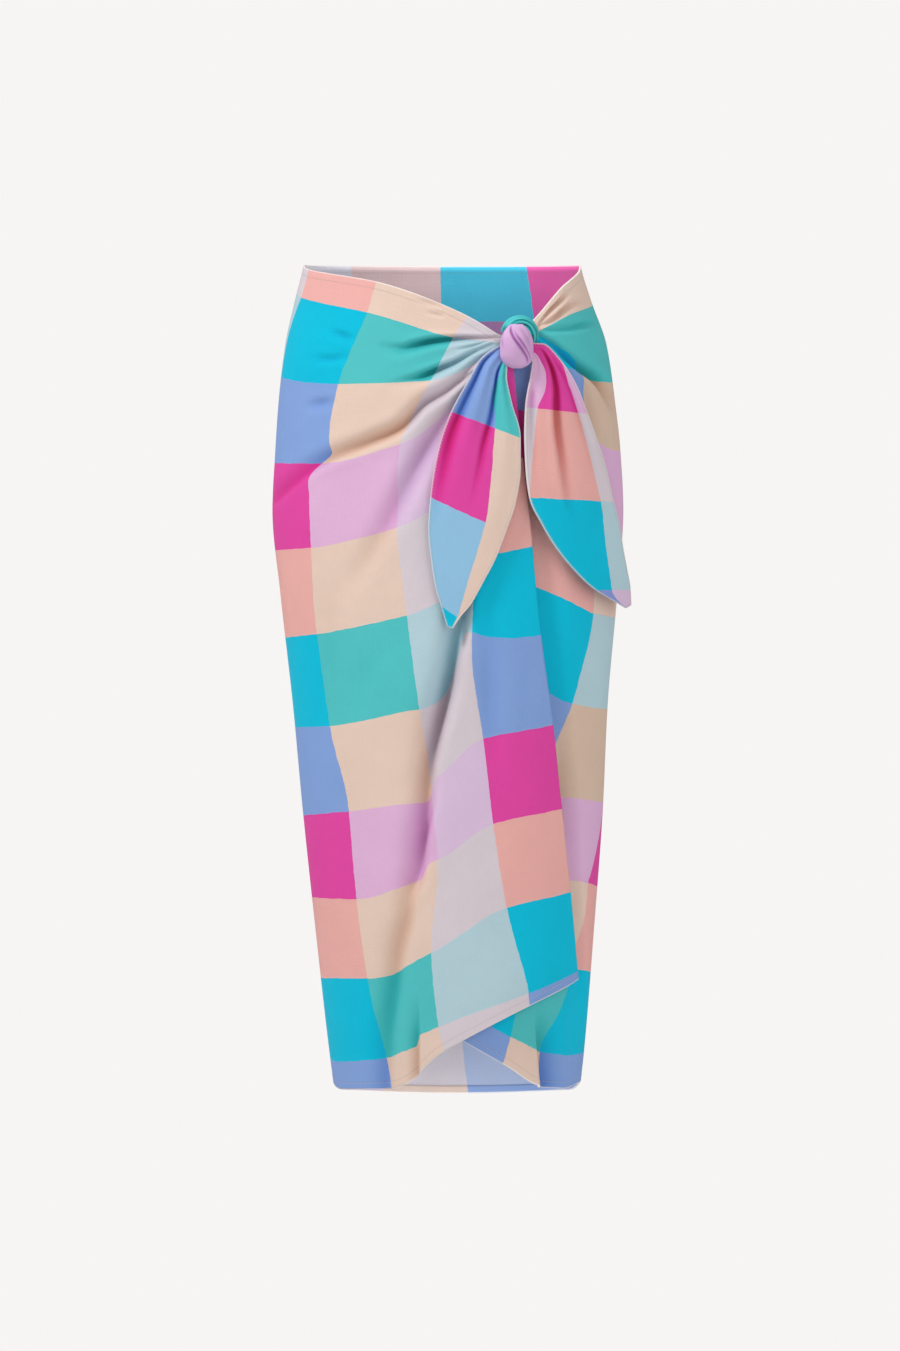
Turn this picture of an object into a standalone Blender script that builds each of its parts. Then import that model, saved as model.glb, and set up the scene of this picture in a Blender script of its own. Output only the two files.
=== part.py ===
"""Wrap sarong in its worn form: one length of checked cotton wound round the hips, its corners tied in a knot.

All sizes are millimetres. The middle of the waist is the origin, the front faces -Y and heights run down from 0.
"""

import math

import bpy
import numpy as np

MM = 0.001
WALL = 2.0
SEAM = 0.3

# Lift is how far the outer face stands off the body section.
OVER_LIFT = 2.0
OVER_LIFT_KNOT = 3.0
UNDER_LIFT_HIDDEN = -8.0
KNOT_X = 76.0
KNOT_Z = -84.0

# The body section from waist to hem: height, left and right limit seen from the front, depth before and behind.
SECTION = (
    (20, -137, 137, 92, 86),
    (0, -141, 141, 94, 88),
    (-36, -150, 152, 97, 94),
    (-82, -160, 168, 101, 104),
    (-143, -167, 177, 106, 116),
    (-189, -170, 182, 108, 122),
    (-250, -173, 185, 109, 125),
    (-334, -165, 179, 108, 121),
    (-449, -152, 169, 104, 112),
    (-556, -142, 164, 101, 107),
    (-678, -129, 155, 98, 102),
    (-801, -115, 145, 95, 99),
    (-860, -107, 138, 94, 98),
)

# The over front, a row for each line across the checks: the height at the left side, then the x and z of
# the end of the first, second and third check, then of the free edge or the knot.
OVER = (
    (0, -67, -18, 26, -53, 58, -72, 67, -75),
    (-26, -76, -48, 12, -74, 57, -80, 69, -82),
    (-111, -106, -121, -11, -118, 58, -87, 70, -89),
    (-202, -133, -203, -41, -183, 61, -98, 72, -103),
    (-289, -133, -286, -46, -265, 53, -207, 82, -194),
    (-380, -128, -375, -36, -354, 35, -303, 92, -286),
    (-472, -114, -470, -24, -446, 30, -393, 101, -378),
    (-560, -95, -554, -13, -534, 42, -483, 113, -466),
    (-643, -87, -645, -4, -609, 52, -569, 122, -553),
    (-727, -75, -727, -11, -701, 66, -655, 131, -639),
    (-811, -61, -804, -4, -773, 87, -746, 137, -724),
    (-841, -52, -839, 2, -801, 89, -755, 139, -732),
)

# The under front, the same lines: the height at the right side, then the x and z of the end of one check,
# then of the knot or of the free edge that the over front covers.
UNDER = (
    (0, 101, -50, 84, -71),
    (-38, 110, -60, 82, -80),
    (-119, 145, -107, 78, -97),
    (-191, 151, -176, 58, -142),
    (-275, 154, -265, 38, -215),
    (-359, 154, -354, 20, -297),
    (-453, 133, -447, 7, -380),
    (-546, 110, -536, -5, -466),
    (-633, 101, -615, -16, -552),
    (-722, 90, -701, -27, -638),
    (-805, 74, -783, -37, -724),
    (-841, 65, -814, -41, -756),
)

# Each hanging corner, a row for each width across it: x and z of one edge, x and z of the other, its lift.
TAIL_LEFT = (
    (68, -79, 73, -93, 5.4),
    (55, -85, 67, -101, 6.6),
    (40, -96, 66, -115, 8.0),
    (27, -118, 71, -141, 9.5),
    (10, -149, 80, -176, 10.0),
    (-1, -178, 80, -209, 10.0),
    (-8, -209, 75, -243, 10.0),
    (-12, -238, 65, -273, 10.0),
    (-14, -270, 55, -299, 9.5),
    (-11, -303, 42, -324, 9.5),
    (-6, -332, 29, -347, 9.0),
    (-2, -345, 19, -359, 8.7),
    (5, -369, 11, -371, 8.5),
)
TAIL_RIGHT = (
    (86, -91, 89, -80, 5.8),
    (92, -100, 103, -81, 7.3),
    (90, -115, 122, -99, 8.2),
    (87, -131, 138, -125, 9.0),
    (85, -145, 148, -151, 10.0),
    (84, -173, 158, -178, 10.5),
    (85, -204, 167, -206, 12.0),
    (89, -238, 175, -242, 14.0),
    (101, -264, 181, -266, 16.0),
    (117, -290, 185, -291, 18.0),
    (136, -313, 189, -312, 20.0),
    (153, -329, 192, -329, 21.0),
    (188, -350, 193, -347, 22.0),
)

# Folds of the over front as seen: start, middle and end x and z, depth at each, width above and below.
OVER_FOLDS = (
    (56, -74, -15, -77, -76, -82, 1.5, 6.5, 0.0, 7, 8),
    (57, -86, -5, -107, -58, -124, 1.0, 5.5, 0.0, 7, 9),
    (59, -94, -35, -154, -165, -232, 1.0, 6.5, 3.5, 11, 14),
    (50, -112, -25, -203, -102, -344, 1.0, 5.0, 0.0, 16, 16),
    (20, -345, -3, -455, -23, -588, 3.5, 6.0, 2.4, 9, 20),
    (-23, -588, -46, -718, -58, -843, 2.4, 4.5, 5.5, 12, 24),
    (48, -352, 49, -423, 56, -484, 1.0, 3.0, 0.0, 14, 14),
)
UNDER_FOLDS = (
    (97, -59, 116, -39, 138, -30, 1.0, 3.5, 0.0, 7, 7),
    (98, -78, 125, -89, 161, -118, 1.0, 3.5, 0.0, 8, 8),
    (160, -184, 171, -240, 173, -280, 0.0, 2.5, 0.0, 10, 10),
    (103, -750, 108, -796, 112, -841, 1.0, 3.0, 4.0, 12, 6),
)
BACK_FOLDS = (
    (-60, -430, -66, -620, -70, -843, 0.0, 3.0, 5.0, 26, 26),
    (66, -470, 74, -640, 82, -843, 0.0, 3.0, 5.0, 26, 26),
)
# Folds along each hanging corner: how far across it, first and last width, depth, spread across.
TAIL_LEFT_FOLDS = (
    (0.20, 1, 6, 2.2, 0.10),
    (0.57, 1, 9, 2.5, 0.11),
)
TAIL_RIGHT_FOLDS = (
    (0.27, 1, 6, 1.8, 0.09),
    (0.58, 1, 9, 2.5, 0.12),
)

# The front turn of the knot, a row for each height: half width, lift of its rim, rise of its crest.
KNOT_WRAP = (
    (-61.5, 4, 12.6, 2.6),
    (-65, 7, 12.6, 6.5),
    (-70, 11, 12.4, 9.5),
    (-77, 15, 11.4, 13.0),
    (-85, 17, 9.4, 14.5),
    (-93, 17, 8.0, 13.5),
    (-99, 15, 7.4, 11.0),
    (-103.5, 11, 7.4, 7.6),
    (-106.5, 5, 7.4, 2.8),
)
WRAP_PLEATS = 3.0
BAND_X = 79.0
BAND_Z = -72.0
BAND_RADIUS = 13.7
BAND_HALF = 4.8
BAND_RISE = 9.0
BAND_RIM = 3.4
BAND_START = 158.0
BAND_END = -15.0


def smooth_run(knots, values, at):
    """A smooth curve through the values that never swings past them."""
    knots = np.asarray(knots, float)
    values = np.asarray(values, float)
    step = np.diff(knots)
    rise = (np.diff(values, axis=0).T / step).T
    slope = np.zeros_like(values)
    same = rise[1:] * rise[:-1] > 0
    total = np.where(same, rise[1:] + rise[:-1], 1.0)
    slope[1:-1] = np.where(same, 2 * rise[1:] * rise[:-1] / total, 0.0)
    slope[0] = rise[0]
    slope[-1] = rise[-1]
    at = np.clip(np.asarray(at, float), knots[0], knots[-1])
    low = np.clip(np.searchsorted(knots, at, side="right") - 1, 0, len(knots) - 2)
    width = step[low]
    part = (at - knots[low]) / width
    shape = part.shape + (1,) * (values.ndim - 1)
    part = part.reshape(shape)
    width = width.reshape(shape)
    start = values[low] * (1 + 2 * part) * (1 - part) ** 2
    end = values[low + 1] * (3 - 2 * part) * part**2
    lean = slope[low] * part * (1 - part) ** 2 - slope[low + 1] * (1 - part) * part**2
    return start + end + width * lean


def section(z):
    """Middle x, half width, depth before and depth behind at each height."""
    table = np.array(sorted(SECTION), float)
    found = smooth_run(table[:, 0], table[:, 1:], np.asarray(z, float))
    left, right, before, behind = np.moveaxis(found, -1, 0)
    return (left + right) / 2, (right - left) / 2, before, behind


def angle_at(x, z, lift):
    """Angle round the front, 0 at the left side and pi at the right side."""
    middle, half, _, _ = section(z)
    return np.arccos(np.clip((middle - x) / (half + lift), -1, 1))


def place(angle, z, lift):
    middle, half, before, behind = section(z)
    depth = np.where(np.sin(angle) >= 0, before, behind)
    x = middle - (half + lift) * np.cos(angle)
    y = -(depth + lift) * np.sin(angle)
    return np.stack([x, y, z + 0 * x], axis=-1)


def step_up(value):
    value = np.clip(value, 0, 1)
    return value * value * (3 - 2 * value)


def folds(x, z, rows):
    """How far soft folds sink the cloth at x, z."""
    sunk = np.zeros_like(x)
    for row in rows:
        knots = np.array([0.0, 1.0, 2.0])
        steps = np.linspace(0, 2, 25)
        line = smooth_run(knots, np.array(row[:6], float).reshape(3, 2), steps)
        deep = smooth_run(knots, row[6:9], steps)
        away = np.full(x.shape, 1e9)
        value = np.zeros(x.shape)
        for i in range(len(steps) - 1):
            run = line[i + 1] - line[i]
            length = np.hypot(*run)
            off_x = x - line[i, 0]
            off_z = z - line[i, 1]
            along = np.clip((off_x * run[0] + off_z * run[1]) / length**2, 0, 1)
            gap = np.hypot(off_x - along * run[0], off_z - along * run[1])
            side = run[0] * off_z - run[1] * off_x
            width = np.where(side < 0, row[9], row[10])
            near = gap < away
            across = (gap / width) ** 2
            trough = 1.25 * np.exp(-across) - 0.25 * np.exp(-across / 4)
            value = np.where(near, (deep[i] + along * (deep[i + 1] - deep[i])) * trough, value)
            away = np.minimum(away, gap)
        sunk += value
    return sunk


def close_shell(name, outer, inner, colour, roughness):
    """One closed body from an outer and an inner grid of points."""
    rows, columns = outer.shape[:2]
    points = np.concatenate([outer.reshape(-1, 3), inner.reshape(-1, 3)]) * MM
    under = rows * columns
    faces = []
    for i in range(rows - 1):
        for j in range(columns - 1):
            a = i * columns + j
            b = a + 1
            c = a + columns + 1
            d = a + columns
            faces.append((a, b, c, d))
            faces.append((d + under, c + under, b + under, a + under))
    top = [j for j in range(columns)]
    right = [i * columns + columns - 1 for i in range(1, rows)]
    bottom = [(rows - 1) * columns + j for j in range(columns - 2, -1, -1)]
    left = [i * columns for i in range(rows - 2, 0, -1)]
    rim = top + right + bottom + left
    for a, b in zip(rim, rim[1:] + rim[:1]):
        faces.append((b, a, a + under, b + under))
    mesh = bpy.data.meshes.new(name)
    mesh.from_pydata([tuple(p) for p in points], [], faces)
    corners = np.array([f for f in faces])
    one = points[corners[:, 0]]
    size = np.einsum("ij,ij->i", one, np.cross(points[corners[:, 1]], points[corners[:, 2]])).sum()
    size += np.einsum("ij,ij->i", one, np.cross(points[corners[:, 2]], points[corners[:, 3]])).sum()
    if size < 0:
        mesh.flip_normals()
    mesh.shade_smooth()
    body = bpy.data.objects.new(name, mesh)
    bpy.context.scene.collection.objects.link(body)
    material = bpy.data.materials.new(name)
    material.use_nodes = True
    shader = material.node_tree.nodes["Principled BSDF"]
    shader.inputs["Base Color"].default_value = (*colour, 1)
    shader.inputs["Roughness"].default_value = roughness
    shader.inputs["Metallic"].default_value = 0
    mesh.materials.append(material)
    return body


def panel_grid(table, side_angle, lift, across, down):
    """Angle and height over a front panel, from its side to its free edge."""
    table = np.array(table, float)
    rows = len(table)
    marks = table[:, 1:].reshape(rows, -1, 2)
    angles = angle_at(marks[:, :, 0], marks[:, :, 1], lift)
    heights = marks[:, :, 1]
    side = table[:, :1]
    angles = np.concatenate([np.full((rows, 1), side_angle), angles], axis=1)
    heights = np.concatenate([side, heights], axis=1)
    both = np.stack([angles, heights], axis=-1)
    lines = smooth_run(np.arange(rows), both, down)
    return np.moveaxis(smooth_run(np.arange(both.shape[1]), np.moveaxis(lines, 1, 0), across), 0, 1)


def knot_distance(x, z):
    return np.hypot(x - KNOT_X, z - KNOT_Z)


def make_over_front():
    down = np.concatenate([np.linspace(0, 5, 35), np.linspace(5, 11, 19)[1:]])
    across = np.linspace(0, 4, 37)
    grid = panel_grid(OVER, SEAM / 200, OVER_LIFT, across, down)
    angle, z = grid[..., 0], grid[..., 1]
    middle, half, _, _ = section(z)
    x = middle - (half + OVER_LIFT) * np.cos(angle)
    near_knot = step_up(1 - knot_distance(x, z) / 70)
    lift = OVER_LIFT + (OVER_LIFT_KNOT - OVER_LIFT) * near_knot
    lift = (lift - folds(x, z, OVER_FOLDS)) * step_up(angle / 0.35)
    return close_shell("over_front", place(angle, z, lift), place(angle, z, lift - WALL), (0.55, 0.72, 0.76), 0.85)


def make_under_front():
    down = np.concatenate([np.linspace(0, 3, 16), np.linspace(3, 11, 13)[1:]])
    across = np.linspace(0, 2, 21)
    grid = panel_grid(UNDER, math.pi - SEAM / 200, UNDER_LIFT_HIDDEN, across, down)
    angle, z = grid[..., 0], grid[..., 1]
    middle, half, _, _ = section(z)
    x = middle - half * np.cos(angle)
    over = np.array(OVER, float)
    edge = smooth_run(-over[:, 8], over[:, 7], -z)
    shown = step_up((x - edge - 8) / (0.35 * (middle + half - edge)))
    tucked = UNDER_LIFT_HIDDEN * (1 - shown) * step_up((math.pi - angle) / 0.42)
    lift = tucked - folds(x, z, UNDER_FOLDS) * step_up((math.pi - angle) / 0.35)
    return close_shell("under_front", place(angle, z, lift), place(angle, z, lift - WALL), (0.66, 0.72, 0.68), 0.85)


def make_back():
    angle = np.linspace(math.pi + SEAM / 200, 2 * math.pi - SEAM / 200, 25)
    run = np.linspace(0, 1, 19)
    hem = -841 - 5 * np.sin(angle - math.pi) ** 2
    z = run[:, None] * hem[None, :]
    angle = np.broadcast_to(angle, z.shape)
    middle, half, _, _ = section(z)
    x = middle - half * np.cos(angle)
    lift = -folds(x, z, BACK_FOLDS) * step_up(np.abs(np.sin(angle)) / 0.35)
    return close_shell("back", place(angle, z, lift), place(angle, z, lift - WALL), (0.70, 0.66, 0.72), 0.85)


def make_tail(name, rows, pleats, colour):
    table = np.array(rows, float)
    down = np.linspace(0, len(rows) - 1, 22)
    found = smooth_run(np.arange(len(rows)), table, down)
    across = np.linspace(0, 1, 15)[None, :]
    x = found[:, 0:1] + (found[:, 2:3] - found[:, 0:1]) * across
    z = found[:, 1:2] + (found[:, 3:4] - found[:, 1:2]) * across
    width = np.hypot(found[:, 2] - found[:, 0], found[:, 3] - found[:, 1])[:, None]
    lift = found[:, 4:5] + 0 * across
    for where, start, end, deep, spread in pleats:
        held = step_up((down - start) / 1.5) * step_up((end - down) / 2.5)
        lift = lift - deep * held[:, None] * np.exp(-(((across - where) / spread) ** 2)) * step_up(width / 45)
    angle = angle_at(x, z, lift)
    return close_shell(name, place(angle, z, lift), place(angle, z, lift - WALL), colour, 0.85)


def knot_wrap_face(thinner):
    table = np.array(KNOT_WRAP, float)[::-1]
    middle_z = (table[0, 0] + table[-1, 0]) / 2
    rows = np.linspace(0, len(table) - 1, 17)
    found = smooth_run(np.arange(len(table)), table, rows)
    turn = np.linspace(-90, 90, 17) * math.pi / 180
    reach = abs(table[0, 0] - middle_z)
    z = middle_z + (found[:, 0:1] - middle_z) * (reach - thinner) / reach
    pleat = 0.9 * np.cos(turn * WRAP_PLEATS * 2)[None, :] * step_up(found[:, 3:4] / 12) * np.cos(turn)[None, :]
    x = KNOT_X + (found[:, 1:2] - thinner) * np.sin(turn)[None, :]
    lift = found[:, 2:3] + (found[:, 3:4] - thinner) * np.cos(turn)[None, :] + pleat
    z = z + 0 * x
    return place(angle_at(x, z, lift), z, lift)


def knot_band_face(thinner):
    along = np.linspace(BAND_START, BAND_END, 21)[:, None] * math.pi / 180
    turn = np.linspace(-90, 90, 13)[None, :] * math.pi / 180
    reach = BAND_RADIUS + (BAND_HALF - thinner) * np.sin(turn)
    x = BAND_X + reach * np.cos(along)
    z = BAND_Z + reach * np.sin(along)
    lift = BAND_RIM + (BAND_RISE - thinner) * np.cos(turn) + 0 * along
    return place(angle_at(x, z, lift), z, lift)


for old in list(bpy.data.objects):
    bpy.data.objects.remove(old, do_unlink=True)

make_back()
make_under_front()
make_over_front()
make_tail("tail_left", TAIL_LEFT, TAIL_LEFT_FOLDS, (0.52, 0.70, 0.80))
make_tail("tail_right", TAIL_RIGHT, TAIL_RIGHT_FOLDS, (0.80, 0.52, 0.60))
close_shell("knot_wrap", knot_wrap_face(0), knot_wrap_face(1.6), (0.80, 0.62, 0.80), 0.85)
close_shell("knot_band", knot_band_face(0), knot_band_face(1.6), (0.40, 0.75, 0.70), 0.85)
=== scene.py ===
# %% [markdown]
# # A wound sarong, dressed in Blender
# A sarong is one length of woven cloth. This one goes round the hips, laps over itself at the front, and its
# two top corners are tied in a knot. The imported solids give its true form.

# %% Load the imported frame
import math

import bpy
import numpy as np
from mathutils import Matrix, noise


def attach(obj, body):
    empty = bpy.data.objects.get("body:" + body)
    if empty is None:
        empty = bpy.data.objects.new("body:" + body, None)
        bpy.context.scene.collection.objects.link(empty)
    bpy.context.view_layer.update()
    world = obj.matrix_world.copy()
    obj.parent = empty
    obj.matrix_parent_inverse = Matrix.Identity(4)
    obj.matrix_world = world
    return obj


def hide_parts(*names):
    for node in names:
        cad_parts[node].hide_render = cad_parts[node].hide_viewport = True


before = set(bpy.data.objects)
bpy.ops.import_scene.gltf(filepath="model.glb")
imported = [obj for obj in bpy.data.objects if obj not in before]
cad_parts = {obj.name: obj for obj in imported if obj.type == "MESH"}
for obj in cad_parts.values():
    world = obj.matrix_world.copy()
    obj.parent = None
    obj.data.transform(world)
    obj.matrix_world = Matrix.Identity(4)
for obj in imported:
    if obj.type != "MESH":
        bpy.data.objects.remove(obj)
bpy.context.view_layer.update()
print("solids:", sorted(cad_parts))

# %% [markdown]
# ## The camera
# A garment is photographed level and from far off, so that its sides look straight. A long lens thirty
# metres away does the same. One pixel of the photograph is 1.02 mm at the cloth, and the middle of the waist,
# where the frame has its origin, is 442 pixels from the left and 265 from the top.

# %% Camera
MM = 0.001
PIXEL = 1.02 * MM
PHOTO_WIDE, PHOTO_HIGH = 900, 1351
WAIST_ACROSS, WAIST_DOWN = 442, 265
CAMERA_AWAY = 30.0
SENSOR = 36.0


def in_scene(name, data):
    """A new object that holds this data, linked to the scene."""
    made = bpy.data.objects.new(name, data)
    bpy.context.scene.collection.objects.link(made)
    return made


camera_data = bpy.data.cameras.new("camera")
camera_data.sensor_width = SENSOR
camera_data.lens = SENSOR * CAMERA_AWAY / (PHOTO_HIGH * PIXEL)
camera_data.clip_end = 200.0
camera = in_scene("camera", camera_data)
camera_x, camera_z = (PHOTO_WIDE / 2 - WAIST_ACROSS) * PIXEL, (WAIST_DOWN - PHOTO_HIGH / 2) * PIXEL
camera.location = (camera_x, -CAMERA_AWAY, camera_z)
camera.rotation_euler = (math.radians(90), 0, 0)
bpy.context.scene.camera = camera
bpy.context.scene.view_settings.view_transform = "Standard"
bpy.context.scene.view_settings.look = "None"
print("lens", round(camera_data.lens, 1), "mm")

# %% [markdown]
# ## Soft light and a pale floor
# Cotton shows its folds by how much sky each part of it sees. A pale world gives that. Two lamps turn the
# folds a little, one high on the left and a broader, weaker one on the right, and two small cards of light,
# under the hem and over the waist, reach the inside. The camera sees none of the four. The floor is a plain
# pale sheet that it sees as an even tone. Two small helpers come first, so that a node and what feeds it are
# one line.

# %% World
PALE = (0.930, 0.913, 0.905)
ROOM_COLOUR, ROOM_LIGHT = (1.0, 0.99, 0.98), 0.39


def feed(tree, socket, value):
    """The output of another node is linked to the socket, and anything else is set on it."""
    if isinstance(value, bpy.types.NodeSocket):
        tree.links.new(value, socket)
    elif isinstance(value, tuple):
        socket.default_value = (*value, 1)[: len(socket.default_value)]
    else:
        socket.default_value = value


def add(tree, kind, inputs=(), **settings):
    """A new node with its settings, and what each of its inputs is fed."""
    node = tree.nodes.new(kind)
    for name, value in settings.items():
        setattr(node, name, value)
    for slot, value in dict(inputs).items():
        feed(tree, node.inputs[slot], value)
    return node


def even_tone(owner, seen_kind, lit_kind, lit_colour, output_kind):
    """The camera sees the pale tone, and the light of the room meets a shader of its own."""
    owner.use_nodes = True
    tree = owner.node_tree
    tree.nodes.clear()
    path = add(tree, "ShaderNodeLightPath").outputs["Is Camera Ray"]
    seen = add(tree, seen_kind, {"Color": PALE})
    lit = add(tree, lit_kind, {"Color": lit_colour})
    mix = add(tree, "ShaderNodeMixShader", {0: path, 1: lit.outputs[0], 2: seen.outputs[0]})
    add(tree, output_kind, {"Surface": mix.outputs[0]})
    return lit


world = bpy.data.worlds.new("pale room")
sky = even_tone(world, "ShaderNodeBackground", "ShaderNodeBackground", ROOM_COLOUR, "ShaderNodeOutputWorld")
sky.inputs["Strength"].default_value = ROOM_LIGHT
bpy.context.scene.world = world
print("light of the room", ROOM_LIGHT)

# %% Lamps and floor
LAMPS = (
    # name, place in metres, aim, size, power
    ("key lamp", (-1.9, -1.5, 2.2), (0, 0, -0.4), 0.7, 67),
    ("front lamp", (2.2, -2.0, 0.1), (0, 0, -0.4), 3.0, 29),
    ("card under the hem", (0.02, -0.02, -0.96), (0.02, 0.10, -0.80), 0.16, 0.20),
    ("card over the waist", (0.02, -0.06, 0.16), (0.02, 0.09, -0.03), 0.16, 0.23),
)
FLOOR_REACH, FLOOR_Z = 60.0, -1.02
FLOOR_COLOUR = (0.9, 0.89, 0.88)
FLOOR_NODES = ("ShaderNodeEmission", "ShaderNodeBsdfDiffuse")

for name, place_at, aim_at, size, power in LAMPS:
    lamp_data = bpy.data.lights.new(name, "AREA")
    lamp_data.shape = "SQUARE"
    lamp_data.size = size
    lamp_data.energy = power
    lamp = in_scene(name, lamp_data)
    lamp.location = place_at
    way = [aim_at[i] - place_at[i] for i in range(3)]
    flat = math.hypot(way[0], way[1])
    lamp.rotation_euler = (math.atan2(flat, -way[2]), 0, math.atan2(way[1], way[0]) - math.pi / 2)
    lamp.visible_camera = False

floor_mesh = bpy.data.meshes.new("floor")
corners = [(x * FLOOR_REACH, y * FLOOR_REACH, FLOOR_Z) for x, y in ((-1, -1), (1, -1), (1, 1), (-1, 1))]
floor_mesh.from_pydata(corners, [], [(0, 1, 2, 3)])
floor = in_scene("floor", floor_mesh)
floor_material = bpy.data.materials.new("pale floor")
even_tone(floor_material, *FLOOR_NODES, FLOOR_COLOUR, "ShaderNodeOutputMaterial")
floor_mesh.materials.append(floor_material)
print(len(LAMPS), "lamps, floor at", FLOOR_Z, "m")

# %% [markdown]
# ## The body section
# Every stretch of the cloth follows one body section: at each height it has a middle, a half width, a depth
# before and a depth behind. A point of the cloth is then an angle round it, a height, and a lift off it. A
# wall made this way can't cross itself, because its inner face is the same point with less lift. Angles start
# at the viewer's left side and go round by the front.

# %% Smooth runs and the section
SECTION = (
    # height, left, right, depth before, depth behind
    (20, -137, 137, 92, 86),
    (0, -141, 141, 94, 88),
    (-36, -150, 152, 97, 94),
    (-82, -160, 168, 101, 104),
    (-143, -167, 177, 106, 116),
    (-189, -170, 182, 108, 122),
    (-250, -173, 185, 109, 125),
    (-334, -165, 179, 108, 121),
    (-449, -152, 169, 104, 112),
    (-556, -142, 164, 101, 107),
    (-678, -129, 155, 98, 102),
    (-801, -115, 145, 95, 99),
    (-860, -107, 138, 94, 98),
)
CHECK = 88.0
SEAM = 0.0003
HEM_RISE, RISE_REACH = 8.5, 0.42
RISE_STARTS, RISE_OVER = -760, 80


def smooth_run(knots, values, at):
    """A smooth curve through the values that never swings past them."""
    knots = np.asarray(knots, float)
    values = np.asarray(values, float)
    step = np.diff(knots)
    rise = (np.diff(values, axis=0).T / step).T
    slope = np.zeros_like(values)
    same = rise[1:] * rise[:-1] > 0
    total = np.where(same, rise[1:] + rise[:-1], 1.0)
    slope[1:-1] = np.where(same, 2 * rise[1:] * rise[:-1] / total, 0.0)
    slope[0] = rise[0]
    slope[-1] = rise[-1]
    at = np.clip(np.asarray(at, float), knots[0], knots[-1])
    low = np.clip(np.searchsorted(knots, at, side="right") - 1, 0, len(knots) - 2)
    width = step[low]
    part = (at - knots[low]) / width
    shape = part.shape + (1,) * (values.ndim - 1)
    part = part.reshape(shape)
    width = width.reshape(shape)
    start = values[low] * (1 + 2 * part) * (1 - part) ** 2
    end = values[low + 1] * (3 - 2 * part) * part**2
    lean = slope[low] * part * (1 - part) ** 2 - slope[low + 1] * (1 - part) * part**2
    return start + end + width * lean


def section(z):
    table = np.array(sorted(SECTION), float)
    found = smooth_run(table[:, 0], table[:, 1:], np.asarray(z, float))
    left, right, before, behind = np.moveaxis(found, -1, 0)
    return (left + right) / 2, (right - left) / 2, before, behind


def angle_at(x, z, lift):
    middle, half, _, _ = section(z)
    return np.arccos(np.clip((middle - x) / (half + lift), -1, 1))


def x_at(angle, z, lift=0.0):
    middle, half, _, _ = section(z)
    return middle - (half + lift) * np.cos(angle)


def place(angle, z, lift):
    _, _, before, behind = section(z)
    depth = np.where(np.sin(angle) >= 0, before, behind)
    x = x_at(angle, z, lift)
    y = -(depth + lift) * np.sin(angle)
    return np.stack([x, y, z + 0 * x], axis=-1)


def step_up(value):
    value = np.clip(value, 0, 1)
    return value * value * (3 - 2 * value)


def corner_lift(from_side, z):
    """The hem turns up a little where the side folds, as on pressed cloth."""
    return HEM_RISE * step_up(1 - np.abs(from_side) / RISE_REACH) * step_up((RISE_STARTS - z) / RISE_OVER)


_, half, before, behind = section(-250)
print("hips", round(float(2 * half)), "by", round(float(before + behind)), "mm")

# %% [markdown]
# ## Folds
# Cloth that is pulled into a knot folds in lines that start there and fade. Each fold is a short row: the
# points it runs through, how deep it is at its start, middle and end, and how wide its right-hand and
# left-hand sides are as one walks along it. A narrow side looks crisp and a wide side looks soft. The folds
# draw together near the knot. A fold also takes some cloth in, so the checks jump across it, which a second
# short table gives.

# %% Fold helpers
KNOT_X, KNOT_Z = 76.0, -84.0
DRAWN_IN, FREE_FROM = 0.35, 140.0
RIDGE = 0.5
FULL_SHADE = 9.0
WAVES = (
    # height of the wave, its length across and down, step in the seed
    (0.55, 42, 60, 0),
    (0.22, 13, 22, 5),
)


def along_line(x, z, points, pieces=10):
    """Each point's distance from the line, which side it is on, and how far along it is from 0 to 2."""
    points = np.array(points, float)
    steps = np.linspace(0, 2, pieces * (len(points) - 1) + 1)
    line = smooth_run(np.linspace(0, 2, len(points)), points, steps)
    away = np.full(x.shape, np.inf)
    side = np.ones(x.shape)
    reached = np.zeros(x.shape)
    for i in range(len(steps) - 1):
        run = line[i + 1] - line[i]
        off_x = x - line[i, 0]
        off_z = z - line[i, 1]
        part = np.clip((off_x * run[0] + off_z * run[1]) / (run @ run), 0, 1)
        gap = np.hypot(off_x - part * run[0], off_z - part * run[1])
        near = gap < away
        away = np.where(near, gap, away)
        side = np.where(near, np.where(run[0] * off_z - run[1] * off_x < 0, 1.0, -1.0), side)
        reached = np.where(near, steps[i] + part * (steps[i + 1] - steps[i]), reached)
    return away, side, reached


def fold_depth(x, z, rows):
    """How far the folds sink the cloth at x, z, and how much shade each steep one holds, from 0 to 1."""
    sunk = np.zeros_like(x)
    shade = np.zeros_like(x)
    gathered = DRAWN_IN + (1 - DRAWN_IN) * step_up(np.hypot(x - KNOT_X, z - KNOT_Z) / FREE_FROM)
    for points, deep, right_hand, left_hand in rows:
        away, side, reached = along_line(x, z, points)
        across = (away / gathered / np.where(side > 0, right_hand, left_hand)) ** 2
        trough = (1 + RIDGE) * np.exp(-across) - RIDGE * np.exp(-across / 4)
        depth = smooth_run([0, 1, 2], deep, reached)
        sunk += depth * trough * (0.1 + 0.9 * gathered)
        steep = np.clip(depth / (right_hand + left_hand) * 1.2, 0, 1) * np.clip(depth / FULL_SHADE, 0, 1)
        shade = np.maximum(shade, steep * (0.4 + 0.6 * gathered) * np.exp(-across * 2.0))
    return sunk, shade


def taken_in(x, z, rows):
    """How far the checks shift beside the folds, in checks across and down."""
    shift = np.zeros(x.shape + (2,))
    for points, across, down, sharp, reach in rows:
        away, side, reached = along_line(x, z, points)
        step = side * (np.tanh(away / sharp) - np.tanh(away / reach)) / 2
        for way, jump in enumerate((across, down)):
            shift[..., way] += smooth_run([0, 1, 2], jump, reached) * step
    return shift


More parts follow.
